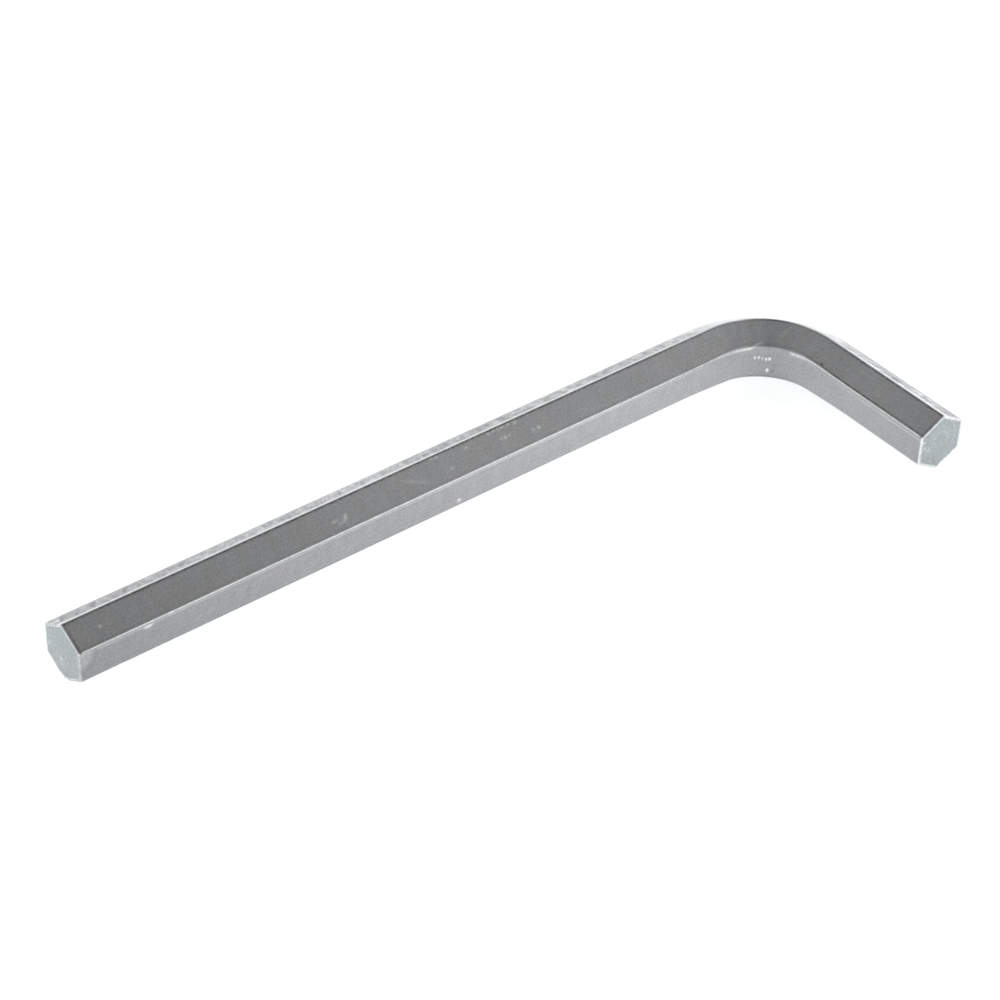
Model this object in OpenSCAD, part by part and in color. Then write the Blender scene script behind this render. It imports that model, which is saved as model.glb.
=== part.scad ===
// A hex key: one length of hexagonal bar, bent once, with both ends sheared square.
// It lies on the lower edge of the bar, with both arms level and two of the flats upright.
// The long arm runs along X, the short arm points to -Y, and the surface is at Z = 0.
// All lengths are in millimetres and all angles in degrees.

/* [Bar] */
// Size across the flats, which is the size of the socket that the key fits
across_flats = 5; // [3:0.5:8]
// Rolled radius along the six edges of the bar
edge_r = 0.2; // [0.1:0.05:0.5]

/* [Arms] */
// Long arm, from its end to the outer flat of the short arm
long_arm = 80; // [50:1:120]
// Short arm, from its end to the outer flat of the long arm
short_arm = 25; // [20:0.5:40]
// Angle between the two arms: under 90 the short arm leans towards the long one
arm_angle = 88; // [85:1:95]

/* [Bend] */
// Radius that the inner flat is bent to
bend_inner_r = 4.9; // [3:0.1:8]
// Share by which the squeezed inner flat grows taller at the middle of the bend
inner_swell = 0.2; // [0:0.01:0.3]
// Share by which the inner half of the bar grows thicker there
inner_bulge = 0.1; // [0:0.01:0.2]
// Share by which the stretched outer flat grows lower there
outer_draw = 0.05; // [0:0.01:0.15]
// Radius of the edges there, softened by the bending
bend_edge_r = 0.4; // [0.1:0.05:0.6]
// Length along each arm over which this shaping of the bar fades out
shaping_reach = 6; // [1:0.5:8]

/* [Ends] */
// Bevel round the rim of each end face
rim_bevel = 0.12; // [0.05:0.01:0.3]

/* [Hidden] */
// Steps round the bend, in each fading length and in each rounded edge.
// An even number keeps a point at the middle of the bend and on top of each edge.
BEND_STEPS = 20;
FADE_STEPS = 5;
EDGE_STEPS = 4;
SIDES = 6;
HALF_SIDE = 180 / SIDES;
// Room that stays between the fading length and the rim of an end
END_ROOM = 1;

half_flats = across_flats / 2;
bend_r = bend_inner_r + half_flats;
bend_turn = 180 - arm_angle;
half_bend = bend_r * bend_turn * PI / 360;

// What the bend takes off each arm, measured from the crossing of the centre lines
bend_take = bend_r * tan(bend_turn / 2);
long_run = long_arm - half_flats - bend_take;
short_run = short_arm - half_flats - bend_take;
fade = min(shaping_reach, short_run - END_ROOM, long_run - END_ROOM);

// Places are lengths along the centre line from the middle of the bend:
// negative towards the long end, positive towards the short one
LONG_END = -half_bend - long_run;
SHORT_END = half_bend + short_run;

// Each station along the bar is [place, inset of the flats]
STATIONS = concat(
    [[LONG_END, rim_bevel], [LONG_END + rim_bevel, 0]],
    [for (step = [FADE_STEPS:-1:1]) [-half_bend - fade * step / FADE_STEPS, 0]],
    [for (step = [0:BEND_STEPS]) [half_bend * (2 * step / BEND_STEPS - 1), 0]],
    [for (step = [1:FADE_STEPS]) [half_bend + fade * step / FADE_STEPS, 0]],
    [[SHORT_END - rim_bevel, 0], [SHORT_END, rim_bevel]]
);

// How far the bending has shaped the bar: fully at the middle, not at all beyond the fading
function shaping(place) =
    abs(place) < half_bend + fade ? pow(cos(90 * place / (half_bend + fade)), 2) : 0;

// Direction of the outer flat, and the length past the bend, both at one place
function outward(place) =
    90 - bend_turn / 2 - max(-1, min(1, place / half_bend)) * bend_turn / 2;
function past(place) =
    place < -half_bend ? place + half_bend : max(0, place - half_bend);

// One point of the hexagon with rounded edges: first number outwards, second number up
function edge_point(side, step, flats, radius) =
    let (corner = HALF_SIDE + side * 2 * HALF_SIDE)
    let (normal = corner - HALF_SIDE + step * 2 * HALF_SIDE / EDGE_STEPS)
    let (centre = (flats - radius) / cos(HALF_SIDE))
    [
        centre * cos(corner) + radius * cos(normal),
        centre * sin(corner) + radius * sin(normal)
    ];

// The same point after the bending: the inner side thicker and taller, the outer side lower
function bent(p, amount) =
    let (share = p[0] / half_flats)
    let (thicker = share < 0 ? -share * inner_bulge : 0)
    let (taller = share < 0 ? -share * inner_swell : -share * outer_draw)
    [p[0] * (1 + amount * thicker), p[1] * (1 + amount * taller)];

// The section at one station
function section(station) =
    let (amount = shaping(station[0]))
    let (radius = edge_r + (bend_edge_r - edge_r) * amount)
    [for (side = [0:SIDES - 1], step = [0:EDGE_STEPS])
        bent(edge_point(side, step, half_flats - station[1], radius), amount)];

// The section put in its place, with the centre of the bend at the origin
function ring(station) =
    let (angle = outward(station[0]), run = past(station[0]))
    [for (p = section(station)) [
        (bend_r + p[0]) * cos(angle) + run * sin(angle),
        (bend_r + p[0]) * sin(angle) - run * cos(angle),
        p[1]
    ]];

POINTS = [for (station = STATIONS) each ring(station)];
COUNT = SIDES * (EDGE_STEPS + 1);
LAST = len(STATIONS) - 1;

// Walls between two stations, as pairs of triangles
WALLS = [for (k = [0:LAST - 1], i = [0:COUNT - 1])
    let (next = (i + 1) % COUNT)
    let (a = k * COUNT + i)
    let (b = k * COUNT + next)
    each [[a, a + COUNT, b + COUNT], [a, b + COUNT, b]]];

LONG_FACE = [for (i = [0:COUNT - 1]) i];
SHORT_FACE = [for (i = [COUNT - 1:-1:0]) LAST * COUNT + i];

// Ends of the whole key along one axis
function low(axis) = min([for (p = POINTS) p[axis]]);
function high(axis) = max([for (p = POINTS) p[axis]]);
function middle(axis) = (low(axis) + high(axis)) / 2;

module hex_key() {
    color([0.66, 0.67, 0.68])
        translate([-middle(0), -middle(1), -low(2)])
            polyhedron(points = POINTS, faces = concat([LONG_FACE], WALLS, [SHORT_FACE]), convexity = 4);
}

hex_key();
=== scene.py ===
"""Looks of the hex key: a bent length of plated hexagonal bar on a white surface.

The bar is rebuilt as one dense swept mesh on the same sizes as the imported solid, with
its rolled edges, the shaping of the bend, the sheared ends and the knocks of use.
"""

import logging
import math
from dataclasses import dataclass, field
from enum import Enum

import bpy
import numpy as np
from mathutils import Matrix, Vector


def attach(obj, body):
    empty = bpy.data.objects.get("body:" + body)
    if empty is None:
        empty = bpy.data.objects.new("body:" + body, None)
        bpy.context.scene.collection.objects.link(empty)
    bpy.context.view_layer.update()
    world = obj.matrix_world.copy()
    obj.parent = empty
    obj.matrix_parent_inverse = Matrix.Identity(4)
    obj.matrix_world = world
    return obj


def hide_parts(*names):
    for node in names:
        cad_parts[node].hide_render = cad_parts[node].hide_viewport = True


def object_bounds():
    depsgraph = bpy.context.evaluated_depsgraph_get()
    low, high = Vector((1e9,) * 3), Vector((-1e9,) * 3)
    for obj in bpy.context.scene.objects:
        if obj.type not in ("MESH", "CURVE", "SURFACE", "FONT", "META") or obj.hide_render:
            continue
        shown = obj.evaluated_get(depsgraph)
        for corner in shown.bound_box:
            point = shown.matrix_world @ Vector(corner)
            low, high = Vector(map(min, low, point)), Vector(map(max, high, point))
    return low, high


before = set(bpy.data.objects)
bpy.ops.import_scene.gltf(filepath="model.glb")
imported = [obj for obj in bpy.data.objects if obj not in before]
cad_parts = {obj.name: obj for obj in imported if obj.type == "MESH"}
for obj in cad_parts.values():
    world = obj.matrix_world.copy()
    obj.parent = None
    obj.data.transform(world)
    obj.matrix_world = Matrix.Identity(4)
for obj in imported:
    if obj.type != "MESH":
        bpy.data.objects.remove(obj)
CAD_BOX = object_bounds()

LOG = logging.getLogger("hex_key")
MM = 0.001
SIDES = 6
SIDE_TURN = 60
HALF_SIDE = math.radians(SIDE_TURN / 2)
NodeTree = bpy.types.NodeTree
Node = bpy.types.Node
Socket = bpy.types.NodeSocket
VECTOR = "NodeSocketVector"
NUMBER = "NodeSocketFloat"


def soft(values: np.ndarray, centre: float, width: float, power: int = 2) -> np.ndarray:
    """Gives 1 at a centre, falling to about a third at a width on both sides of it."""
    return np.exp(-(((values - centre) / width) ** power))


def apart(around: np.ndarray, centre: float) -> np.ndarray:
    """Gives the distances in flats from a centre, the short way round the section."""
    return (around - centre + SIDES / 2) % SIDES - SIDES / 2


def put_in_scene(name: str, data: bpy.types.ID) -> bpy.types.Object:
    """Makes an object of a mesh, light or camera and links it to the scene."""
    made = bpy.data.objects.new(name, data)
    bpy.context.scene.collection.objects.link(made)
    return made


class Side(Enum):
    """The six flats of the bar, each by its number counted up from the outer flat."""

    OUTER = 0
    UPPER_OUTER = 1
    UPPER_INNER = 2
    INNER = 3
    LOWER_INNER = 4
    LOWER_OUTER = 5


class End(Enum):
    """The two sheared ends of the bar."""

    LONG = 0
    SHORT = 1


class Mask(Enum):
    """The painted values of each vertex, by the name of the mesh attribute."""

    # Edge wear with painted highlights, plating tone with painted light and shade, painted sheen of
    # the bend, and painted shade lines with dark marks
    EDGE = "edge"
    TONE = "tone"
    BURNISH = "burnish"
    GRIME = "grime"
    GRAIN = "grain"


@dataclass(frozen=True)
class Profile:
    """A value along the bar, as places and levels with straight lines between them."""

    places: tuple[float, ...]
    levels: tuple[float, ...]

    def at(self, run: float) -> float:
        """Gives the value at a length from the long end."""
        return float(np.interp(run, self.places, self.levels))


@dataclass(frozen=True)
class Knock:
    """A dent, nick or rolled-over patch on the bar.

    Its place is the length from the long end along the centre line and the distance
    round the section, counted in flats: 2.0 is the middle of flat 2 and 2.5 the edge
    between flats 2 and 3. All sizes are in millimetres. Glint sets the painted highlight
    in it, the darkness value how dark it is painted, and outline the painted shade at its
    border. It is only there beyond the given distance round the section.
    """

    run: float
    around: float
    length: float
    width: float
    depth: float
    crisp: float = 2.0
    slant: float = 0.0
    glint: float = 0.0
    darkness: float = 0.0
    outline: float = 0.0
    beyond: float = 0.0

    BORDER = (0.85, 0.30)

    def touches(self, run: float) -> bool:
        """Says whether the knock can reach a ring at this length along the bar."""
        return abs(self.run - run) < self.length + abs(self.slant) * self.width

    def reach(self, run: float, around: np.ndarray, flat_width: float) -> np.ndarray:
        """Gives how far out each point of a ring lies, as a share of the knock's own size.

        Args:
            run: Length along the centre line.
            around: Distances round the section, in flats.
            flat_width: Width of one flat.

        Returns:
            The squared distance, 0 at the middle and 1 at the border.
        """
        across = apart(around, self.around) * flat_width
        along = run - self.run - self.slant * across
        outside = np.where(around < self.beyond, np.inf, 0.0)
        return (along / self.length) ** 2 + (across / self.width) ** 2 + outside

    def share(self, run: float, around: np.ndarray, flat_width: float) -> np.ndarray:
        """Gives how deep in the knock each point lies, from 0 outside it to 1 at its middle."""
        return np.clip(1.0 - self.reach(run, around, flat_width), 0.0, None) ** self.crisp

    def border(self, run: float, around: np.ndarray, flat_width: float) -> np.ndarray:
        """Gives how near each point lies to the knock's border, from 0 to 1."""
        return soft(self.reach(run, around, flat_width), *self.BORDER)

    @property
    def inward(self) -> np.ndarray:
        """The direction in the section that the knock is pushed in."""
        angle = math.radians(SIDE_TURN * self.around)
        return np.array([-math.cos(angle), -math.sin(angle)])


@dataclass(frozen=True)
class Steel:
    """The colours and gloss of one steel surface."""

    name: str
    colour: tuple[float, float, float]
    cool: tuple[float, float, float]
    warm: tuple[float, float, float]
    # Bright colour of the scratches, the worn edges and the painted highlights and sheen
    highlight_and_wear: tuple[float, float, float]
    # Dark colour of the painted shade lines and the dark marks
    shade_and_dark_mark_colour: tuple[float, float, float]
    roughness: float
    rough_spread: float
    line_height: float
    peel_height: float
    peel_scale: float
    speckle: float
    blotch: float
    scratch_height: float
    mottle_scale: float


class Nodes:
    """Short ways of placing and joining shader nodes in one tree."""

    def __init__(self, tree: NodeTree) -> None:
        """Keeps the tree that nodes are added to."""
        self.tree = tree

    @classmethod
    def fresh(cls, owner: bpy.types.ID) -> "Nodes":
        """Empties the node tree of a material or world, and gives the helper for it."""
        owner.use_nodes = True
        owner.node_tree.nodes.clear()
        return cls(owner.node_tree)

    def add(self, kind: str, label: str = "", **settings: object) -> Node:
        """Adds a node.

        Args:
            kind: Blender's name of the node type.
            label: What the node is for.
            **settings: Properties set on the node.

        Returns:
            The new node.
        """
        node = self.tree.nodes.new(kind)
        node.label = label
        for key, value in settings.items():
            setattr(node, key, value)
        return node

    def feed(self, target: Socket, source: object) -> None:
        """Joins a socket to an input, or sets the input to a plain value.

        Args:
            target: The input.
            source: The socket or the value.
        """
        if isinstance(source, bpy.types.NodeSocket):
            self.tree.links.new(source, target)
        else:
            target.default_value = source

    def surface(self, kind: str, shader: Socket) -> None:
        """Adds an output node of a kind and joins a shader to its surface."""
        self.feed(self.add(kind).inputs["Surface"], shader)

    def math(self, operation: str, *values: object, clamp: bool = False) -> Socket:
        """Adds a Math node.

        Args:
            operation: Blender's name of the operation.
            *values: Sockets or numbers for its inputs.
            clamp: Whether the result is held between 0 and 1.

        Returns:
            The node's result.
        """
        node = self.add("ShaderNodeMath", operation=operation, use_clamp=clamp)
        for target, value in zip(node.inputs, values):
            self.feed(target, value)
        return node.outputs[0]

    def ramp(self, value: Socket, low: float, high: float) -> Socket:
        """Eases a value from low..high to 0..1, clamped.

        Args:
            value: The value to map.
            low: Value that gives 0.
            high: Value that gives 1.

        Returns:
            The mapped value.
        """
        node = self.add("ShaderNodeMapRange", clamp=True, interpolation_type="SMOOTHSTEP")
        self.feed(node.inputs["Value"], value)
        node.inputs["From Min"].default_value = low
        node.inputs["From Max"].default_value = high
        return node.outputs["Result"]

    def noise(self, vector: Socket, scale: object, detail: float, rough: float = 0.5) -> Socket:
        """Adds a noise texture and gives its value.

        Args:
            vector: Where the texture is read.
            scale: Fineness of its grain, as a number or a socket.
            detail: Octaves.
            rough: Strength of the finer octaves.

        Returns:
            The noise value.
        """
        node = self.add("ShaderNodeTexNoise")
        self.feed(node.inputs["Vector"], vector)
        self.feed(node.inputs["Scale"], scale)
        node.inputs["Detail"].default_value = detail
        node.inputs["Roughness"].default_value = rough
        return node.outputs["Fac"]

    def stretch(
        self, vector: Socket, scale: tuple, turn: float = 0.0, shift: tuple = (0, 0, 0)
    ) -> Socket:
        """Turns and then scales a texture vector.

        Args:
            vector: The vector.
            scale: Factors along its three axes.
            turn: Angle about its third axis, in degrees.
            shift: Distance added before the scaling.

        Returns:
            The new vector.
        """
        turned = self.add("ShaderNodeVectorRotate", rotation_type="Z_AXIS")
        self.feed(turned.inputs["Vector"], vector)
        turned.inputs["Angle"].default_value = math.radians(turn)
        moved = self.add("ShaderNodeVectorMath", operation="ADD")
        self.feed(moved.inputs[0], turned.outputs[0])
        moved.inputs[1].default_value = shift
        scaled = self.add("ShaderNodeVectorMath", operation="MULTIPLY")
        self.feed(scaled.inputs[0], moved.outputs[0])
        scaled.inputs[1].default_value = scale
        return scaled.outputs[0]

    def grey(self, level: Socket) -> Socket:
        """Makes a grey of a value.

        Args:
            level: How light it is.

        Returns:
            The colour.
        """
        node = self.add("ShaderNodeCombineColor")
        for channel in node.inputs:
            self.feed(channel, level)
        return node.outputs[0]

    def mix(self, share: object, low: object, high: object, blend: str = "MIX") -> Socket:
        """Mixes two colours.

        Args:
            share: How much of the second colour shows.
            low: The first colour.
            high: The second colour.
            blend: How they are mixed.

        Returns:
            The mixed colour.
        """
        node = self.add("ShaderNodeMix", data_type="RGBA", blend_type=blend)
        self.feed(node.inputs[0], share)
        for target, colour in ((node.inputs[6], low), (node.inputs[7], high)):
            plain = not isinstance(colour, bpy.types.NodeSocket)
            self.feed(target, (*colour, 1.0) if plain else colour)
        return node.outputs[2]


class Effects:
    """The surface effects that both steel surfaces share, each a shader node group."""

    # Scratches: turn in degrees, fineness along and across, and shift of the pattern
    STROKES = ((62, 0.6, 12.0, 0), (-48, 0.7, 13.0, 13), (81, 0.6, 12.0, 29), (35, 0.5, 11.0, 47))
    STROKE_SHARPNESS = 12.0

    def __init__(self) -> None:
        """Builds the groups once."""
        self.drawn_lines = self._drawn_lines()
        self.peel = self._peel()
        self.mottle = self._mottle()
        self.scratches = self._scratches()
        # Breaks up the painted highlights, sheen and shade as well as the wear
        self.wear = self._chipped_break_up()

    @staticmethod
    def _group(name: str, inputs: dict, outputs: tuple) -> tuple[NodeTree, Nodes, dict, Node]:
        """Starts a node group.

        Args:
            name: The group's name.
            inputs: Socket types by input name.
            outputs: Names of its number outputs.

        Returns:
            The group, its node helper, its input sockets by name and its output node.
        """
        tree = bpy.data.node_groups.new(name, "ShaderNodeTree")
        for label, kind in inputs.items():
            tree.interface.new_socket(label, in_out="INPUT", socket_type=kind)
        for label in outputs:
            tree.interface.new_socket(label, in_out="OUTPUT", socket_type=NUMBER)
        nodes = Nodes(tree)
        start = nodes.add("NodeGroupInput")
        end = nodes.add("NodeGroupOutput")
        return tree, nodes, {s.name: s for s in start.outputs}, end

    def _drawn_lines(self) -> NodeTree:
        """Builds the fine lines that the drawing die leaves along the bar.

        Returns:
            The group.
        """
        tree, n, given, end = self._group("drawn_lines", {"Place": VECTOR}, ("Height", "Mask"))
        fine = n.noise(n.stretch(given["Place"], (0.10, 7.0, 1.0)), 1.0, 3.0, 0.6)
        broad = n.noise(n.stretch(given["Place"], (0.04, 2.2, 1.0), shift=(7, 3, 0)), 1.0, 2.0)
        height = n.math("ADD", n.math("MULTIPLY", fine, 0.6), n.math("MULTIPLY", broad, 0.4))
        n.feed(end.inputs["Height"], height)
        n.feed(end.inputs["Mask"], n.ramp(height, 0.36, 0.66))
        return tree

    def _peel(self) -> NodeTree:
        """Builds the fine uneven skin of the plating, as a height, a speckle and streaks.

        Returns:
            The group.
        """
        tree, n, given, end = self._group(
            "plating_peel", {"Place": VECTOR, "Scale": NUMBER}, ("Height", "Speckle", "Streaks")
        )
        place, scale = given["Place"], given["Scale"]
        skin = n.noise(n.stretch(place, (0.8, 1.0, 1.0)), scale, 3.0, 0.6)
        dots = n.noise(n.stretch(place, (2.0, 2.3, 1.0), 25, (3, 9, 0)), scale, 2.0, 0.7)
        fine = n.noise(n.stretch(place, (1.7, 0.5, 1.0), -24, (5, 2, 0)), 1.3, 3.0, 0.7)
        broad = n.noise(n.stretch(place, (0.9, 0.3, 1.0), -24, (11, 6, 0)), 1.3, 2.0, 0.6)
        streaks = n.math("ADD", n.math("MULTIPLY", fine, 0.7), n.math("MULTIPLY", broad, 0.6))
        n.feed(end.inputs["Height"], skin)
        n.feed(end.inputs["Speckle"], n.math("SUBTRACT", dots, 0.5))
        n.feed(end.inputs["Streaks"], n.math("SUBTRACT", streaks, 0.65))
        return tree

    def _mottle(self) -> NodeTree:
        """Builds the soft blotches of the plating, as a patch and a tint.

        Returns:
            The group.
        """
        tree, n, given, end = self._group(
            "plating_mottle", {"Place": VECTOR, "Scale": NUMBER}, ("Patch", "Tint")
        )
        place, scale = given["Place"], given["Scale"]
        patch = n.noise(n.stretch(place, (1.7, 0.7, 1.0)), scale, 4.0, 0.62)
        tint = n.noise(n.stretch(place, (1.1, 0.6, 1.0), shift=(31, 17, 5)), scale, 2.0)
        n.feed(end.inputs["Patch"], n.ramp(patch, 0.30, 0.70))
        n.feed(end.inputs["Tint"], n.ramp(tint, 0.35, 0.65))
        return tree

    def _scratches(self) -> NodeTree:
        """Builds thin short scratches in several directions, as a mask.

        Returns:
            The group.
        """
        tree, n, given, end = self._group(
            "handling_scratches", {"Place": VECTOR, "Density": NUMBER}, ("Mask",)
        )
        total = None
        for turn, along, across, shift in self.STROKES:
            way = n.stretch(given["Place"], (along, across, 1.0), turn, (shift, shift, shift))
            level = n.math("SUBTRACT", 0.80, n.math("MULTIPLY", given["Density"], 0.12))
            over = n.math("SUBTRACT", n.noise(way, 1.6, 1.0), level)
            line = n.math("MULTIPLY", over, self.STROKE_SHARPNESS, clamp=True)
            total = line if total is None else n.math("MAXIMUM", total, line)
        n.feed(end.inputs["Mask"], total)
        return tree

    def _chipped_break_up(self) -> NodeTree:
        """Builds a mask broken up into chips, for wear with painted highlights, painted sheen and
        painted shade.

        Returns:
            The group.
        """
        tree, n, given, end = self._group(
            "chipped_break_up", {"Place": VECTOR, "Edge": NUMBER, "Break Up": NUMBER}, ("Mask",)
        )
        chips = n.noise(n.stretch(given["Place"], (1.6, 2.4, 1.0)), 1.4, 4.0, 0.65)
        gaps = n.math("MULTIPLY", n.ramp(chips, 0.62, 0.38), given["Break Up"])
        kept = n.math("SUBTRACT", 1.0, gaps, clamp=True)
        n.feed(end.inputs["Mask"], n.math("MULTIPLY", given["Edge"], kept))
        return tree


class SteelFinish:
    """Makes the material of one steel surface from its values and the shared effects."""

    BUMP_DISTANCE = 0.00002
    SCRATCH_DENSITY = 0.5
    SCRATCH_SHINE = 0.25
    TINT_SHARE = 0.5
    LINE_SHADE = 0.05
    STREAK_FLOOR = 0.3
    SPECKLE_ROUGHNESS = 0.10
    STREAK_ROUGHNESS = 0.05
    # How much of the rubbed edges with their painted highlights, the painted sheen of the bend and
    # the painted shade with the dark marks is broken up
    GAPS = ((Mask.EDGE, 0.45), (Mask.BURNISH, 0.15), (Mask.GRIME, 0.5))

    def __init__(self, steel: Steel, effects: Effects) -> None:
        """Keeps what the material is made from."""
        self.steel = steel
        self.effects = effects

    @staticmethod
    def _effect(n: Nodes, tree: NodeTree, **values: object) -> dict[str, Socket]:
        """Places a group in the material.

        Args:
            n: The material's nodes.
            tree: The group.
            **values: Its inputs, with an underscore for each space.

        Returns:
            The group's outputs by name.
        """
        node = n.add("ShaderNodeGroup", tree.name)
        node.node_tree = tree
        for key, value in values.items():
            n.feed(node.inputs[key.replace("_", " ")], value)
        return {s.name: s for s in node.outputs}

    def make(self) -> bpy.types.Material:
        """Builds the material.

        Returns:
            The new material.
        """
        steel, effects = self.steel, self.effects
        material = bpy.data.materials.new(steel.name)
        n = Nodes.fresh(material)
        place = n.add("ShaderNodeUVMap", "run and girth", uv_map="run").outputs["UV"]
        painted = {
            mask: n.add("ShaderNodeAttribute", mask.value, attribute_name=mask.value).outputs["Fac"]
            for mask in Mask
        }
        lines = self._effect(n, effects.drawn_lines, Place=place)
        peel = self._effect(n, effects.peel, Place=place, Scale=steel.peel_scale)
        mottle = self._effect(n, effects.mottle, Place=place, Scale=steel.mottle_scale)
        marks = self._effect(n, effects.scratches, Place=place, Density=self.SCRATCH_DENSITY)
        highlight_and_wear, sheen, shade_and_dark_mark_share = (
            self._effect(n, effects.wear, Place=place, Edge=painted[mask], Break_Up=gaps)["Mask"]
            for mask, gaps in self.GAPS
        )

        tint = n.mix(mottle["Tint"], steel.cool, steel.warm)
        base = n.mix(n.math("MULTIPLY", mottle["Patch"], self.TINT_SHARE), steel.colour, tint)
        level = n.math("MULTIPLY_ADD", peel["Speckle"], steel.speckle, 1.0)
        blotch = n.math("SUBTRACT", mottle["Patch"], 0.5)
        level = n.math("MULTIPLY_ADD", blotch, steel.blotch, level)
        # Tone of the plating with its painted light and shade per flat
        level = n.math("MULTIPLY", level, painted[Mask.TONE])
        level = n.math("MULTIPLY_ADD", lines["Mask"], -self.LINE_SHADE, level)
        base = n.mix(1.0, base, n.grey(level), "MULTIPLY")
        base = n.mix(n.math("MULTIPLY", marks["Mask"], self.SCRATCH_SHINE), base, steel.highlight_and_wear)
        # Worn edges with their painted highlights, and the painted sheen of the bend
        base = n.mix(n.math("MAXIMUM", highlight_and_wear, sheen), base, steel.highlight_and_wear)
        streaks = n.math("MULTIPLY_ADD", peel["Streaks"], painted[Mask.GRAIN], 1.0)
        streaks = n.math("MAXIMUM", streaks, self.STREAK_FLOOR)
        base = n.mix(1.0, base, n.grey(streaks), "MULTIPLY")
        # Painted shade lines and dark marks
        base = n.mix(shade_and_dark_mark_share, base, steel.shade_and_dark_mark_colour)

        rough = n.math("MULTIPLY_ADD", mottle["Patch"], steel.rough_spread, steel.roughness)
        rough = n.math("MULTIPLY_ADD", peel["Speckle"], self.SPECKLE_ROUGHNESS, rough)
        rough = n.math("MULTIPLY_ADD", painted[Mask.GRAIN], self.STREAK_ROUGHNESS, rough)

        height = n.math("MULTIPLY", lines["Height"], steel.line_height)
        height = n.math("MULTIPLY_ADD", marks["Mask"], -steel.scratch_height, height)
        height = n.math("MULTIPLY_ADD", peel["Height"], steel.peel_height, height)
        bump = n.add("ShaderNodeBump", "surface")
        bump.inputs["Distance"].default_value = self.BUMP_DISTANCE
        bump.inputs["Strength"].default_value = 1.0
        n.feed(bump.inputs["Height"], height)

        shader = n.add("ShaderNodeBsdfPrincipled", steel.name)
        shader.inputs["Metallic"].default_value = 1.0
        n.feed(shader.inputs["Base Color"], base)
        n.feed(shader.inputs["Roughness"], rough)
        n.feed(shader.inputs["Normal"], bump.outputs["Normal"])
        n.surface("ShaderNodeOutputMaterial", shader.outputs[0])
        return material


@dataclass
class Skin:
    """Collects the vertices, faces, map and painted values of one mesh, in millimetres."""

    points: list[np.ndarray] = field(default_factory=list)
    faces: list[tuple[int, ...]] = field(default_factory=list)
    corners: list[np.ndarray] = field(default_factory=list)
    slots: list[int] = field(default_factory=list)
    masks: dict[Mask, list] = field(default_factory=lambda: {mask: [] for mask in Mask})
    count: int = 0

    def add(self, points: np.ndarray, masks: dict[Mask, np.ndarray]) -> np.ndarray:
        """Adds vertices.

        Args:
            points: Their places.
            masks: Their painted values; the tone with painted light and shade is 1 and the others 0
                where not given.

        Returns:
            Their numbers.
        """
        numbers = np.arange(self.count, self.count + len(points))
        self.points.append(points)
        for mask in Mask:
            plain = np.full(len(points), 1.0 if mask is Mask.TONE else 0.0)
            self.masks[mask].append(masks.get(mask, plain))
        self.count += len(points)
        return numbers

    def join(self, first: tuple, second: tuple, slot: int) -> None:
        """Joins two closed loops of vertices by quads.

        Args:
            first: Vertex numbers and map places of one loop; the map has a closing place.
            second: The same of the other loop.
            slot: Number of the material.
        """
        (a, a_map), (b, b_map) = first, second
        quads = np.stack([a, np.roll(a, -1), np.roll(b, -1), b], 1)
        spots = np.stack([a_map[:-1], a_map[1:], b_map[1:], b_map[:-1]], 1)
        self.faces += [tuple(quad) for quad in quads.tolist()]
        self.corners.append(spots.reshape(-1, 2))
        self.slots += [slot] * len(quads)

    def close(self, loop: tuple, hub: int, hub_map: np.ndarray, flip: bool, slot: int) -> None:
        """Closes a loop by a fan of triangles.

        Args:
            loop: Vertex numbers and map places of the loop, the map with a closing place.
            hub: Number of the middle vertex.
            hub_map: Its place on the map.
            flip: Whether the triangles run the other way round.
            slot: Number of the material.
        """
        numbers, spots = loop
        following = np.roll(numbers, -1)
        for i in range(len(numbers)):
            edge = [(int(numbers[i]), spots[i]), (int(following[i]), spots[i + 1])]
            if flip:
                edge.reverse()
            self.faces.append((edge[0][0], edge[1][0], hub))
            self.corners.append(np.array([edge[0][1], edge[1][1], hub_map]))
            self.slots.append(slot)

    def make(self, name: str, box: tuple) -> bpy.types.Object:
        """Makes the Blender object.

        Args:
            name: Its name.
            box: Two corners in metres that the mesh is held between.

        Returns:
            The new object.
        """
        wanted = np.concatenate(self.points) * MM
        places = np.clip(wanted, *box)
        LOG.info("%s: held in its box by %.4f mm at most", name, np.abs(places - wanted).max() / MM)
        mesh = bpy.data.meshes.new(name)
        mesh.from_pydata(places.tolist(), [], self.faces)
        mesh.polygons.foreach_set("material_index", self.slots)
        mesh.polygons.foreach_set("use_smooth", [True] * len(self.faces))
        layer = mesh.uv_layers.new(name="run")
        layer.data.foreach_set("uv", np.concatenate(self.corners).astype(np.float32).ravel())
        for mask, values in self.masks.items():
            attribute = mesh.attributes.new(mask.value, "FLOAT", "POINT")
            attribute.data.foreach_set("value", np.concatenate(values).astype(np.float32))
        mesh.validate()
        mesh.update()
        return put_in_scene(name, mesh)


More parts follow.
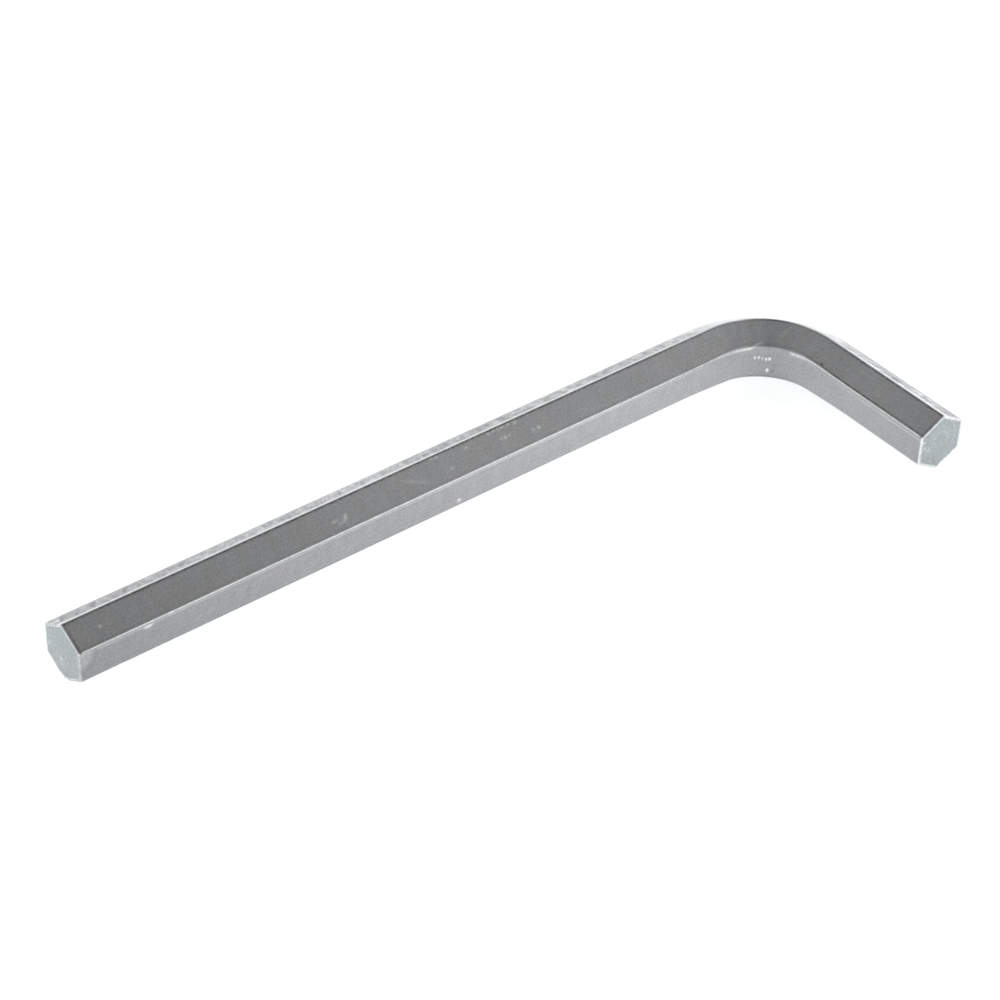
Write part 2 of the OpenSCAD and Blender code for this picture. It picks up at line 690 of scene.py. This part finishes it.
@dataclass
class BentBar:
    """The whole key as one swept bar. All sizes are in millimetres and degrees."""

    across_flats: float = 5.0
    edge_r: float = 0.2
    long_arm: float = 80.0
    short_arm: float = 25.0
    arm_angle: float = 88.0
    bend_inner_r: float = 4.9
    inner_swell: float = 0.2
    inner_bulge: float = 0.1
    outer_draw: float = 0.05
    bend_edge_r: float = 0.4
    shaping_reach: float = 6.0
    rim: float = 0.12
    seen_steps: int = 22
    plain_steps: int = 8
    edge_steps: int = 6
    rim_steps: int = 4
    face_rings: int = 22

    # Half of a flat up to its rounded edge, in flats, and what is left for that edge
    FLAT_PART = 0.44
    EDGE_PART = 1 - 2 * FLAT_PART
    EXTRA_PLACES = (-0.97, -0.94, 0.94, 0.97)

    # Steps between the rings, and how far the fine ones reach from the ends and the bend
    END_STEP = 0.07
    ARM_STEP = 0.18
    BEND_STEP = 0.08
    LONG_END_REACH = 3.0
    FINE_REACH = 2.0
    RIM_GAP = 0.01

    # Dents: length from the long end, distance round, length, width, depth and glint, the painted
    # highlight in each
    DENTS = (
        (0.1, 1.3, 0.35, 0.4, 0.05, 0.9), (0.4, 0.95, 0.5, 0.3, 0.03, 0.6),
        (2.8, 2.01, 0.2, 0.13, 0.02, 1.2), (6.5, 2.64, 0.5, 0.18, 0.02, 1.0),
        (8.7, 2.52, 0.25, 0.16, 0.02, 0.9), (25.7, 2.1, 0.4, 0.16, 0.012, 0.8),
        (26.2, 2.22, 0.4, 0.16, 0.012, 0.7), (36.9, 1.625, 0.2, 0.14, 0.01, 1.2),
        (37.45, 1.625, 0.2, 0.14, 0.01, 1.3), (38.2, 2.12, 0.35, 0.16, 0.01, 0.6),
        (40.5, 1.745, 0.35, 0.16, 0.01, 0.8), (43.2, 1.63, 0.2, 0.14, 0.012, 1.2),
        (43.75, 1.62, 0.2, 0.14, 0.012, 1.5), (44.25, 1.62, 0.2, 0.14, 0.012, 1.4),
        (44.75, 1.62, 0.22, 0.14, 0.012, 1.6), (45.4, 1.62, 0.24, 0.14, 0.012, 1.5),
        (46.1, 1.65, 0.24, 0.2, 0.012, 1.1), (44.0, 1.93, 0.18, 0.15, 0.012, 1.1),
        (44.45, 1.94, 0.2, 0.16, 0.012, 1.6), (44.95, 1.94, 0.18, 0.15, 0.012, 1.2),
        (47.3, 2.08, 0.2, 0.15, 0.012, 1.1), (47.95, 2.09, 0.24, 0.2, 0.012, 1.3),
        (73.85, 2.88, 0.22, 0.16, 0.05, 1.5), (74.4, 2.87, 0.2, 0.15, 0.05, 1.3),
        (74.95, 2.9, 0.17, 0.14, 0.05, 1.0), (75.5, 2.92, 0.22, 0.16, 0.05, 1.3),
        (76.0, 2.9, 0.24, 0.18, 0.05, 1.6), (75.8, 3.28, 0.27, 0.18, 0.05, 1.6),
    )
    # Small nicks on the edges: their sizes are spans of length, width and depth
    NICK_SEED = 11
    NICK_COUNT = 70
    NICK_SPREAD = 0.03
    NICK_SIZES = ((0.15, 0.7), (0.12, 0.3), (0.004, 0.02))
    # How a mark's painted highlight and darkness spread over it, and the most wear with painted
    # highlight that is set
    MARK_POWER = 0.4
    MOST_WEAR = 1.6

    # Tone of the plating along the bar and per flat, with painted light and shade that set how
    # bright each flat looks
    TONE = Profile(
        (0, 10, 20, 30, 40, 66, 70, 74, 78, 84, 88, 92, 97),
        (0.78, 0.82, 0.88, 0.94, 1.0, 1.0, 0.93, 0.80, 0.80, 0.84, 0.87, 0.86, 0.80),
    )
    SIDE_TONES_AND_SHADE = {
        Side.UPPER_OUTER: Profile(
            (0, 8, 14, 20, 26, 31, 36, 48, 54, 60, 68, 70, 74, 82, 84, 87, 90, 97),
            (
                0.80, 0.77, 0.83, 0.90, 0.87, 1.07, 0.81, 0.83, 1.0,
                0.85, 0.80, 0.87, 1.0, 1.0, 0.91, 1.18, 1.13, 1.09,
            ),
        ),
        Side.UPPER_INNER: Profile(
            (0, 10, 20, 30, 40, 66, 70, 73, 76, 78, 81, 84, 88, 92, 97),
            (
                0.82, 0.875, 0.92, 1.01, 1.065, 1.06, 1.04, 1.0,
                0.86, 0.92, 0.91, 0.84, 0.89, 0.86, 0.79,
            ),
        ),
        Side.INNER: Profile(
            (0, 10, 20, 30, 40, 50, 60, 66, 70, 73, 76, 78, 81, 84, 88, 92, 97),
            (
                0.62, 0.68, 0.73, 0.765, 0.83, 0.85, 0.89, 0.89, 0.87,
                0.78, 0.7, 0.745, 0.83, 0.83, 0.805, 0.78, 0.71,
            ),
        ),
    }
    STREAKS = Profile((70, 84), (2.7, 3.6))
    # Painted sheen on the outer flats in the bend, along the bar
    BURNISH = Profile(
        (60, 66, 70, 72, 80, 81, 82, 83, 88, 96),
        (0.0, 0.3, 0.7, 1.0, 1.0, 0.9, 0.45, 0.28, 0.1, 0.0),
    )
    SHEEN_REACH = 1.5
    SHEEN_POWER = 0.25

    # Lines along the bar: place round it, width (both in flats) and level: painted highlights of
    # the upper ridge and of the upper inner edge with its second line, and wear of the unseen edges
    RIDGE_PLACE = Profile((70, 84), (1.43, 1.33))
    RIDGE_WIDTH = Profile((80, 86), (0.07, 0.10))
    RIDGE_LEVEL = Profile((0, 70, 84), (0.95, 1.0, 1.5))
    INNER_LINES = (
        (
            Profile(
                (0, 10, 62, 66, 68, 71, 73, 74.6, 79.2, 81, 83),
                (2.485, 2.50, 2.505, 2.485, 2.495, 2.555, 2.56, 2.42, 2.565, 2.54, 2.475),
            ),
            0.04,
            Profile(
                (0, 66, 73, 74.6, 75.2, 78.6, 79.4, 82),
                (0.95, 1.0, 1.0, 0.7, 0, 0, 0.9, 1.2),
            ),
        ),
        (
            Profile((0, 60, 84), (2.61, 2.60, 2.625)),
            0.02,
            Profile(
                (0, 12, 20, 26, 33, 38, 46, 56, 60, 66, 68, 84, 90),
                (0.5, 0.4, 0.3, 0.4, 0.4, 0.45, 0.35, 0.5, 0.2, 0.4, 0.0, 0.2, 0.5),
            ),
        ),
    )
    EDGE_WIDTH = 0.04
    UNSEEN_EDGES = (0.5, 3.5, 4.5, 5.5)
    UNSEEN_LEVEL = 0.7

    # Painted shade lines beside the ridge, the inner edge and the rims, and the painted shade patch
    # of the bend
    SHADE_LINES = (
        (1.562, 0.030, Profile((60, 68, 73, 79, 85), (1.0, 0.7, 0.2, 0.2, 1.0))),
        (3.46, 0.02, Profile((0,), (0.45,))),
        (2.41, 0.025, Profile((0, 10, 80, 85), (0.4, 0.2, 0.2, 0.9))),
    )
    RIM_SHADE_PLACE = 0.21
    RIM_SHADE_WIDTH = 0.13
    RIM_SHADE_MIDDLE = 2.03
    CREST_RUN = 76.1
    CREST_LENGTH = 3.1
    CREST_TOP = 1.56
    CREST_WIDTH = 0.55
    CREST_SHADE = 0.85

    # Ends: the painted highlight line of the rim, then the face's rings, its light spots (place,
    # radius, level) and its painted highlight arcs (centre, radius, level, way that they fade)
    RIM_LINE = 0.05
    RIM_SHINE = {End.LONG: 0.7, End.SHORT: 1.5}
    FACE_LIFT = 40.0
    FACE_RIM_SHARES = (0.965, 0.93)
    FACE_START = 0.86
    FACE_RIM_HIGHLIGHT = 0.85
    FACE_SPOTS = {
        End.LONG: ((2.2, -0.7, 0.15, 0.8), (0.5, -1.2, 0.15, 0.8), (0.4, -1.7, 0.20, 0.3)),
        End.SHORT: ((-1.9, 0.35, 0.16, 0.7), (-1.7, -0.3, 0.16, 0.6), (-1.2, -0.7, 0.3, 0.2)),
    }
    FACE_ARCS = {
        End.LONG: (
            (-0.6, 0.9, 2.4, 0.13, -1),
            (-0.6, 0.9, 1.9, 0.08, -1),
            (-0.6, 0.9, 2.9, 0.14, -1),
        ),
        End.SHORT: (
            (0.1, -0.1, 0.9, 0.27, 1),
            (0.1, -0.1, 1.3, 0.13, 1),
            (-0.4, 0.0, 2.3, 0.23, 1),
        ),
    }
    ARC_WIDTH = 0.10

    def __post_init__(self) -> None:
        """Works out the lengths that follow from the sizes."""
        self.half = self.across_flats / 2
        self.flat_width = 2 * self.half * math.tan(HALF_SIDE)
        self.bend_r = self.bend_inner_r + self.half
        self.turn = math.radians(180 - self.arm_angle)
        take = self.bend_r * math.tan(self.turn / 2)
        self.long_run = self.long_arm - self.half - take
        self.arc = self.bend_r * self.turn
        self.short_run = self.short_arm - self.half - take
        self.total = self.long_run + self.arc + self.short_run
        low, high = (np.array(corner) / MM for corner in CAD_BOX)
        start = self.heading(0.0)[0]
        self.move = np.array([low[0] - start[0], high[1] - self.half - self.bend_r, high[2] / 2])
        self.knocks = self._knocks()

    def _knocks(self) -> list[Knock]:
        """Lists the marks of shearing, bending and use.

        Returns:
            The knocks: the single ones first, then small nicks spread along the edges.
        """
        marks = [
            Knock(0.0, 2.56, 1.7, 1.9, 0.05, 1.0, glint=0.22, outline=0.32, beyond=2.54),
            Knock(0.0, 4.50, 0.8, 0.7, 0.20, 1.0),
            Knock(26.8, 2.12, 0.28, 0.42, 0.012, slant=-0.5, glint=1.0),
            Knock(33.9, 1.95, 0.24, 0.50, 0.008, slant=1.6, glint=0.6),
            Knock(34.9, 2.10, 0.24, 0.60, 0.008, slant=1.8, glint=0.5),
            Knock(38.3, 3.30, 0.24, 0.30, 0.010, slant=0.3, glint=0.9),
            Knock(76.6, 3.29, 0.25, 0.15, 0.04, darkness=0.7),
            Knock(83.3, 2.37, 0.22, 0.24, 0.05, darkness=0.9),
            Knock(self.total, 4.72, 0.7, 0.9, 0.12, 1.0),
        ]
        marks += [Knock(*sizes, glint=glint) for *sizes, glint in self.DENTS]
        rng = np.random.default_rng(self.NICK_SEED)
        for _ in range(self.NICK_COUNT):
            corner = rng.integers(0, SIDES) + 0.5
            run = rng.uniform(1.0, self.total - 1.0)
            around = corner + rng.normal(0.0, self.NICK_SPREAD)
            marks.append(Knock(run, around, *(rng.uniform(*span) for span in self.NICK_SIZES)))
        return marks

    def shaping(self, run: float) -> float:
        """How far the bend has shaped the bar at a length along it, from 0 to 1."""
        place = run - self.long_run - self.arc / 2
        reach = self.arc / 2 + self.shaping_reach
        return math.cos(math.pi / 2 * place / reach) ** 2 if abs(place) < reach else 0.0

    def heading(self, run: float) -> tuple[np.ndarray, np.ndarray, np.ndarray]:
        """Gives the bar's line at a length from the long end, before it is moved.

        Args:
            run: Length along the centre line.

        Returns:
            The point on the centre line, the outward direction and the forward direction.
        """
        bent = min(max(run - self.long_run, 0.0), self.arc)
        past = run - self.long_run - bent
        angle = math.pi / 2 - bent / self.bend_r
        out = np.array([math.cos(angle), math.sin(angle), 0.0])
        ahead = np.array([math.sin(angle), -math.cos(angle), 0.0])
        return out * self.bend_r + ahead * past, out, ahead

    def flat_places(self, side: Side) -> np.ndarray:
        """Gives the places of the points across one flat, from -1 to 1, denser at its edges."""
        steps = self.seen_steps if side in self.SIDE_TONES_AND_SHADE else self.plain_steps
        return np.sort(np.append(np.linspace(-1, 1, steps + 1), self.EXTRA_PLACES))

    def section(self, inset: float, radius: float) -> tuple[np.ndarray, np.ndarray]:
        """Lays out the rounded hexagon.

        Args:
            inset: How far the flats are moved in.
            radius: Radius of its edges.

        Returns:
            The points and their distances round in flats.
        """
        half = self.half - inset
        reach = (half - radius) * math.tan(HALF_SIDE)
        centre = (half - radius) / math.cos(HALF_SIDE)
        points, around = [], []
        for side in Side:
            face = math.radians(SIDE_TURN * side.value)
            out = np.array([math.cos(face), math.sin(face)])
            up = np.array([-math.sin(face), math.cos(face)])
            for w in self.flat_places(side):
                points.append(half * out + w * reach * up)
                around.append(side.value + self.FLAT_PART * w)
            corner = math.radians(SIDE_TURN * side.value + SIDE_TURN / 2)
            hub = centre * np.array([math.cos(corner), math.sin(corner)])
            for step in range(1, self.edge_steps):
                share = step / self.edge_steps
                angle = face + math.radians(SIDE_TURN) * share
                points.append(hub + radius * np.array([math.cos(angle), math.sin(angle)]))
                around.append(side.value + self.FLAT_PART + self.EDGE_PART * share)
        return np.array(points), np.array(around)

    def stations(self) -> list[tuple[float, float]]:
        """Lists the rings of the sweep.

        Returns:
            For each ring its length along the bar and the inset of its flats.
        """
        start = sorted(
            (self.rim * (1 - math.cos(a)), self.rim * (1 - math.sin(a)))
            for a in np.linspace(0, math.pi / 2, self.rim_steps + 1)
        )
        bend = (self.long_run - self.FINE_REACH, self.long_run + self.arc + self.FINE_REACH)
        last = self.total - self.FINE_REACH
        pieces = (
            (self.rim, self.LONG_END_REACH, self.END_STEP),
            (self.LONG_END_REACH, bend[0], self.ARM_STEP),
            (*bend, self.BEND_STEP),
            (bend[1], last, self.ARM_STEP),
            (last, self.total - self.rim, self.END_STEP),
        )
        runs = np.unique(np.round(np.concatenate([np.arange(*piece) for piece in pieces]), 4))
        kept = self.rim + self.RIM_GAP
        middle = [(r, 0.0) for r in runs if kept < r < self.total - self.rim - self.RIM_GAP]
        finish = [(self.total - r, i) for r, i in reversed(start)]
        return start + middle + finish

    def paint(self, run: float, around: np.ndarray) -> dict[Mask, np.ndarray]:
        """Gives the painted values of one ring.

        Args:
            run: Length along the bar.
            around: Distances round the section, in flats.

        Returns:
            The values by mask.
        """
        # Painted highlights in the knocks, their dark marks, and the painted shade at their borders
        near = [k for k in self.knocks if k.touches(run)]
        shares = [k.share(run, around, self.flat_width) ** self.MARK_POWER for k in near]
        none = [np.zeros(len(around))]
        glint = np.max(none + [k.glint * s for k, s in zip(near, shares)], axis=0)
        borders = [k.outline * k.border(run, around, self.flat_width) for k in near]
        darkness = np.max(none + borders + [k.darkness * s for k, s in zip(near, shares)], axis=0)
        from_end = min(run, self.total - run)
        # Painted highlight line along the rims of the ends
        rim = max(0.0, 1 - abs(from_end - self.RIM_LINE) / self.rim)
        shine = self.RIM_SHINE[End.LONG if run < self.long_run else End.SHORT]

        # Wear of the unseen edges and painted highlights along the ridge and the upper inner edge
        unseen = sum(soft(around, corner, self.EDGE_WIDTH) for corner in self.UNSEEN_EDGES)
        ridge = soft(around, self.RIDGE_PLACE.at(run), self.RIDGE_WIDTH.at(run))
        lines = self.UNSEEN_LEVEL * unseen + self.RIDGE_LEVEL.at(run) * ridge
        lines = (1 - self.shaping(run)) * lines
        for place, width, level in self.INNER_LINES:
            lines = lines + level.at(run) * soft(around, place.at(run), width)

        # Painted shade beside the rims and in lines along the ridge and the edges
        rim_shade = max(0.0, 1 - abs(from_end - self.RIM_SHADE_PLACE) / self.RIM_SHADE_WIDTH)
        rim_shade = rim_shade * (np.abs(around - self.RIM_SHADE_MIDDLE) < 0.5)
        rim_shade = rim_shade * np.clip(0.4 + 0.9 * (around - 1.5), 0, 1.3)
        grime = rim_shade
        for place, width, level in self.SHADE_LINES:
            grime = grime + level.at(run) * soft(around, place, width)

        # Painted shade where the ridge crosses the bend, and no painted sheen there on the outer
        # flats
        along = np.clip(1 - abs(run - self.CREST_RUN) / self.CREST_LENGTH, 0, 1)
        across = np.clip(1 - (self.CREST_TOP - around) / self.CREST_WIDTH, 0, 1)
        crest_shade = np.where(around < self.CREST_TOP, np.sqrt(along * across), 0.0)
        outer = np.clip(1 - np.abs(apart(around, 0.0)) / self.SHEEN_REACH, 0, 1)
        outer = outer**self.SHEEN_POWER * (1 - crest_shade)
        # Wear and painted highlights together
        wear = np.maximum(np.maximum(glint, shine * rim), lines)
        return {
            Mask.EDGE: np.clip(wear, 0, self.MOST_WEAR),
            Mask.TONE: self.tone(run, around) * (1 - self.CREST_SHADE * crest_shade),
            Mask.BURNISH: np.clip(self.BURNISH.at(run) * outer, 0, 1),
            Mask.GRIME: np.clip(np.maximum(grime * (1 - rim), darkness), 0, 1),
            Mask.GRAIN: self.grain(run, around),
        }

    def grain(self, run: float, around: np.ndarray) -> np.ndarray:
        """Gives the strength of the streaks, strongest on the rubbed upper outer flat.

        Args:
            run: Length along the bar.
            around: Distances round the section, in flats.

        Returns:
            The strength at each point.
        """
        shaped = self.shaping(run)
        upper = soft(around, Side.UPPER_INNER.value, 0.4) * (0.12 + 0.5 * shaped)
        inner = upper + 0.35 * soft(around, Side.INNER.value, 0.5)
        rubbed = soft(around, Side.UPPER_OUTER.value, 0.35, 4)
        return self.STREAKS.at(run) * rubbed * (1 - shaped) + inner

    def tone(self, run: float, around: np.ndarray) -> np.ndarray:
        """Gives the tone of the plating with painted light and shade, which differs from flat to
        flat.

        Args:
            run: Length along the bar.
            around: Distances round the section, in flats.

        Returns:
            The tone at each point.
        """
        tones = np.array([self.SIDE_TONES_AND_SHADE.get(side, self.TONE).at(run) for side in Side])
        side = np.floor(around).astype(int)
        share = np.clip((around - side - self.FLAT_PART) / self.EDGE_PART, 0, 1)
        return tones[side % SIDES] * (1 - share) + tones[(side + 1) % SIDES] * share

    def ring(self, run: float, inset: float) -> tuple[np.ndarray, np.ndarray]:
        """Places one ring of the sweep.

        Args:
            run: Length along the bar.
            inset: Inset of its flats.

        Returns:
            The points and their distances round in flats.
        """
        shaped = self.shaping(run)
        radius = self.edge_r + (self.bend_edge_r - self.edge_r) * shaped
        points, around = self.section(inset, radius)
        share = points[:, 0] / self.half
        thick = 1 - shaped * share * np.where(share < 0, self.inner_bulge, 0.0)
        tall = 1 - shaped * share * np.where(share < 0, self.inner_swell, self.outer_draw)
        points = points * np.column_stack([thick, tall])
        for knock in self.knocks:
            if knock.touches(run):
                depth = knock.depth * knock.share(run, around, self.flat_width)
                points = points + depth[:, None] * knock.inward
        centre, out, _ = self.heading(run)
        placed = centre + points[:, :1] * out + points[:, 1:] * np.array([0.0, 0.0, 1.0])
        return placed + self.move, around

    def build(self) -> bpy.types.Object:
        """Builds the mesh of the key.

        Returns:
            The new object, with its run and girth map and its painted values.
        """
        skin = Skin()
        loops, rims = [], []
        for run, inset in self.stations():
            placed, around = self.ring(run, inset)
            numbers = skin.add(placed, self.paint(run, around))
            girth = np.append(around, SIDES + around[0]) * self.flat_width
            loops.append((numbers, np.column_stack([np.full(len(girth), run), girth])))
            rims.append(placed)
        for first, second in zip(loops[1:], loops[:-1]):
            skin.join(first, second, 0)
        self._face(skin, End.LONG, loops[0][0], rims[0])
        self._face(skin, End.SHORT, loops[-1][0], rims[-1])
        return skin.make("hex_key_bar", CAD_BOX)

    def _face(self, skin: Skin, end: End, rim: np.ndarray, places: np.ndarray) -> None:
        """Adds one sheared end face as rings that close in to its middle.

        Args:
            skin: The mesh that is added to.
            end: Which end.
            rim: Numbers of the vertices round it.
            places: Their places.
        """
        _, side, ahead = self.heading(0.0 if end is End.LONG else self.total)
        outward = -ahead if end is End.LONG else ahead
        middle = places.mean(0)
        lift = np.array([0.0, self.FACE_LIFT])

        def spots(points: np.ndarray) -> np.ndarray:
            """Lays points of the face on the map."""
            flat = np.column_stack([(points - middle) @ side, (points - middle)[:, 2]]) + lift
            return np.vstack([flat, flat[:1]])

        loop = (rim, spots(places))
        even = np.linspace(self.FACE_START, 0.0, self.face_rings, endpoint=False)
        for step, share in enumerate(np.append(self.FACE_RIM_SHARES, even), 1):
            inner = middle + (places - middle) * share
            across, up = (spots(inner)[:-1] - lift).T
            depth = self._shear(end, across, up) * min(1.0, step / 2)
            inner = inner + outward * depth[:, None]
            # Painted highlight on the first ring inside the rim, with the marks of the face
            edge = np.full(len(inner), self.FACE_RIM_HIGHLIGHT if step == 1 else 0.0)
            edge = np.maximum(edge, self._face_marks(end, across, up))
            following = (skin.add(inner, {Mask.EDGE: edge}), spots(inner))
            pair = (loop, following) if end is End.LONG else (following, loop)
            skin.join(*pair, 1)
            loop = following
        sunk = float(self._shear(end, np.zeros(1), np.zeros(1))[0])
        hub = skin.add((middle + outward * sunk)[None, :], {})
        skin.close(loop, int(hub[0]), lift, end is End.SHORT, 1)

    def _face_marks(self, end: End, across: np.ndarray, up: np.ndarray) -> np.ndarray:
        """Gives the light spots and the painted highlight arcs on an end face.

        Args:
            end: Which end.
            across: Places across the face.
            up: Places up the face.

        Returns:
            How bright the marks are at each place.
        """
        marks = np.zeros(len(across))
        for x, y, radius, level in self.FACE_SPOTS[end]:
            marks += level * soft(np.hypot(across - x, up - y), 0.0, radius)
        for x, y, radius, level, way in self.FACE_ARCS[end]:
            arc = soft(np.hypot(across - x, up - y), radius, self.ARC_WIDTH)
            marks += level * arc * np.clip(1.0 + way * (up - y) / radius, 0, 1)
        return marks

    @staticmethod
    def _shear(end: End, across: np.ndarray, up: np.ndarray) -> np.ndarray:
        """Gives the unevenness that shearing leaves on an end face.

        Args:
            end: Which end.
            across: Places across the face.
            up: Places up the face.

        Returns:
            The height of each place, never above the face's plane.
        """
        if end is End.LONG:
            slope = 0.020 * np.clip((0.4 - across) / 2.5, 0, 1)
            step = 0.012 / (1 + np.exp(-(up - 0.5 * across + 0.6) / 0.12))
        else:
            slope = 0.015 * np.clip((across + 2.5) / 5, 0, 1)
            arc = np.hypot(across - 0.4, up + 3.2) - 3.0
            step = 0.020 / (1 + np.exp(-arc / 0.10))
        return -(slope + step + 0.002)


class Key:
    """The hex key: its bar, its steel and what it stands for."""

    PLATED = Steel(
        name="plated_bar",
        colour=(0.545, 0.55, 0.56), cool=(0.51, 0.55, 0.57), warm=(0.55, 0.53, 0.55),
        highlight_and_wear=(0.93, 0.94, 0.94), shade_and_dark_mark_colour=(0.10, 0.10, 0.105),
        roughness=0.30, rough_spread=0.06, line_height=0.05, scratch_height=0.12,
        peel_height=0.55, peel_scale=2.6, speckle=0.90, blotch=0.07, mottle_scale=0.55,
    )
    SHEARED = Steel(
        name="sheared_end",
        colour=(0.41, 0.44, 0.45), cool=(0.37, 0.44, 0.46), warm=(0.435, 0.435, 0.445),
        highlight_and_wear=(0.90, 0.91, 0.91), shade_and_dark_mark_colour=(0.12, 0.12, 0.12),
        roughness=0.34, rough_spread=0.10, line_height=0.3, scratch_height=0.3,
        peel_height=0.9, peel_scale=1.8, speckle=0.90, blotch=0.12, mottle_scale=0.9,
    )

    def build(self) -> bpy.types.Object:
        """Builds the key and says what it replaces.

        Returns:
            The object.
        """
        effects = Effects()
        bar = BentBar().build()
        bar.data.materials.append(SteelFinish(self.PLATED, effects).make())
        bar.data.materials.append(SteelFinish(self.SHEARED, effects).make())
        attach(bar, "root")
        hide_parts("hex_key")
        return bar


@dataclass(frozen=True)
class Lamp:
    """A soft rectangular lamp that faces the key and isn't mirrored in it."""

    name: str
    place: tuple[float, float, float]
    size: tuple[float, float]
    watts: float

    def hang(self) -> bpy.types.Object:
        """Builds the lamp.

        Returns:
            The lamp.
        """
        data = bpy.data.lights.new(self.name, "AREA")
        data.shape = "RECTANGLE"
        data.size, data.size_y = self.size
        data.energy = self.watts
        lamp = put_in_scene(self.name, data)
        lamp.location = self.place
        lamp.visible_glossy = False
        lamp.rotation_euler = (-Vector(self.place)).to_track_quat("-Z", "Y").to_euler()
        return lamp


@dataclass
class Studio:
    """The white surface, the soft light and the camera, in metres; its lens in millimetres."""

    floor_size: float = 6.0
    floor_drop: float = 0.00002
    floor_colour: tuple[float, float, float] = (0.735, 0.755, 0.765)
    seen_glow: float = 0.72
    mirrored_glow: float = 0.66
    lens: float = 103.989
    sensor: float = 36.0
    nearest: float = 0.005
    camera_place: tuple[float, float, float] = (-0.128257, -0.143361, 0.151324)
    right: tuple[float, float, float] = (0.770151, -0.637003, 0.033085)
    down: tuple[float, float, float] = (-0.364644, -0.482235, -0.796545)
    ahead: tuple[float, float, float] = (0.523357, 0.601396, -0.603673)

    LAMPS = (
        Lamp("back_lamp", (0.42, 0.50, 0.36), (1.1, 0.55), 1.6),
        Lamp("front_lamp", (-0.15, -0.75, 0.30), (1.0, 0.4), 0.9),
    )
    # The room's light by height, and its dimmer front: direction, borders, share, colour
    SURROUND = (
        (0.0, 1.0), (0.56, 1.0), (0.64, 0.37), (0.70, 0.23),
        (0.77, 0.50), (0.89, 0.40), (1.0, 0.36),
    )
    FRONT = (-0.70, -0.62, 0.36)
    FRONT_BORDERS = (0.45, 0.95)
    FRONT_DIM = 0.55
    DIM_COLOUR = (0.1, 0.1, 0.1)

    def floor(self) -> bpy.types.Object:
        """Builds the white surface, which keeps the key's shadow.

        Returns:
            The floor.
        """
        half = self.floor_size / 2
        mesh = bpy.data.meshes.new("floor")
        corners = [(-half, -half, 0), (half, -half, 0), (half, half, 0), (-half, half, 0)]
        mesh.from_pydata(corners, [], [(0, 1, 2, 3)])
        floor = put_in_scene("floor", mesh)
        floor.location = (0, 0, -self.floor_drop)
        material = bpy.data.materials.new("white_surface")
        n = Nodes.fresh(material)
        paint = n.add("ShaderNodeBsdfDiffuse")
        paint.inputs["Color"].default_value = (*self.floor_colour, 1)
        glow = n.add("ShaderNodeEmission")
        rays = n.add("ShaderNodeLightPath").outputs
        seen = n.math("MAXIMUM", rays["Is Camera Ray"], rays["Is Transmission Ray"])
        seen = n.math("MULTIPLY", seen, self.seen_glow)
        seen = n.math("MULTIPLY_ADD", rays["Is Glossy Ray"], self.mirrored_glow, seen)
        n.feed(glow.inputs["Strength"], seen)
        both = n.add("ShaderNodeAddShader")
        n.feed(both.inputs[0], paint.outputs[0])
        n.feed(both.inputs[1], glow.outputs[0])
        n.surface("ShaderNodeOutputMaterial", both.outputs[0])
        mesh.materials.append(material)
        return floor

    def world(self) -> None:
        """Lights the scene by a soft white surround with a dim ceiling, white to the camera."""
        world = bpy.data.worlds.new("white_room")
        bpy.context.scene.world = world
        n = Nodes.fresh(world)
        way = n.add("ShaderNodeTexCoord").outputs["Generated"]
        parts = n.add("ShaderNodeSeparateXYZ")
        n.feed(parts.inputs[0], way)
        ramp = n.add("ShaderNodeValToRGB", "surround by height")
        while len(ramp.color_ramp.elements) < len(self.SURROUND):
            ramp.color_ramp.elements.new(0.5)
        for element, (place, level) in zip(ramp.color_ramp.elements, self.SURROUND):
            element.position = place
            element.color = (level, level, level, 1)
        n.feed(ramp.inputs["Fac"], parts.outputs["Z"])
        toward = n.add("ShaderNodeVectorMath", "front of the room", operation="DOT_PRODUCT")
        n.feed(toward.inputs[0], way)
        toward.inputs[1].default_value = self.FRONT
        front = n.ramp(toward.outputs["Value"], *self.FRONT_BORDERS)
        dim = n.math("MULTIPLY", front, self.FRONT_DIM)
        colour = n.mix(dim, ramp.outputs["Color"], self.DIM_COLOUR)
        rays = n.add("ShaderNodeLightPath")
        colour = n.mix(rays.outputs["Is Camera Ray"], colour, (1, 1, 1))
        back = n.add("ShaderNodeBackground")
        n.feed(back.inputs["Color"], colour)
        n.surface("ShaderNodeOutputWorld", back.outputs[0])

    def camera(self) -> bpy.types.Object:
        """Sets up the camera at the photograph's viewing angle.

        Returns:
            The camera.
        """
        data = bpy.data.cameras.new("camera")
        data.lens = self.lens
        data.sensor_width = self.sensor
        data.clip_start = self.nearest
        camera = put_in_scene("camera", data)
        axes = Matrix((self.right, [-v for v in self.down], [-v for v in self.ahead])).transposed()
        camera.matrix_world = Matrix.Translation(self.camera_place) @ axes.to_4x4()
        bpy.context.scene.camera = camera
        return camera

    def build(self) -> None:
        """Builds the whole studio."""
        self.floor()
        self.world()
        for lamp in self.LAMPS:
            lamp.hang()
        self.camera()
        bpy.context.scene.view_settings.view_transform = "Standard"


def main() -> None:
    """Builds the key and its studio, and reports each piece."""
    logging.basicConfig(level=logging.INFO, format="%(name)s: %(message)s")
    bar = Key().build()
    LOG.info("%s: %d faces", bar.name, len(bar.data.polygons))
    Studio().build()
    LOG.info("studio: floor, world, lamps and camera")


if __name__ == "__main__":
    main()
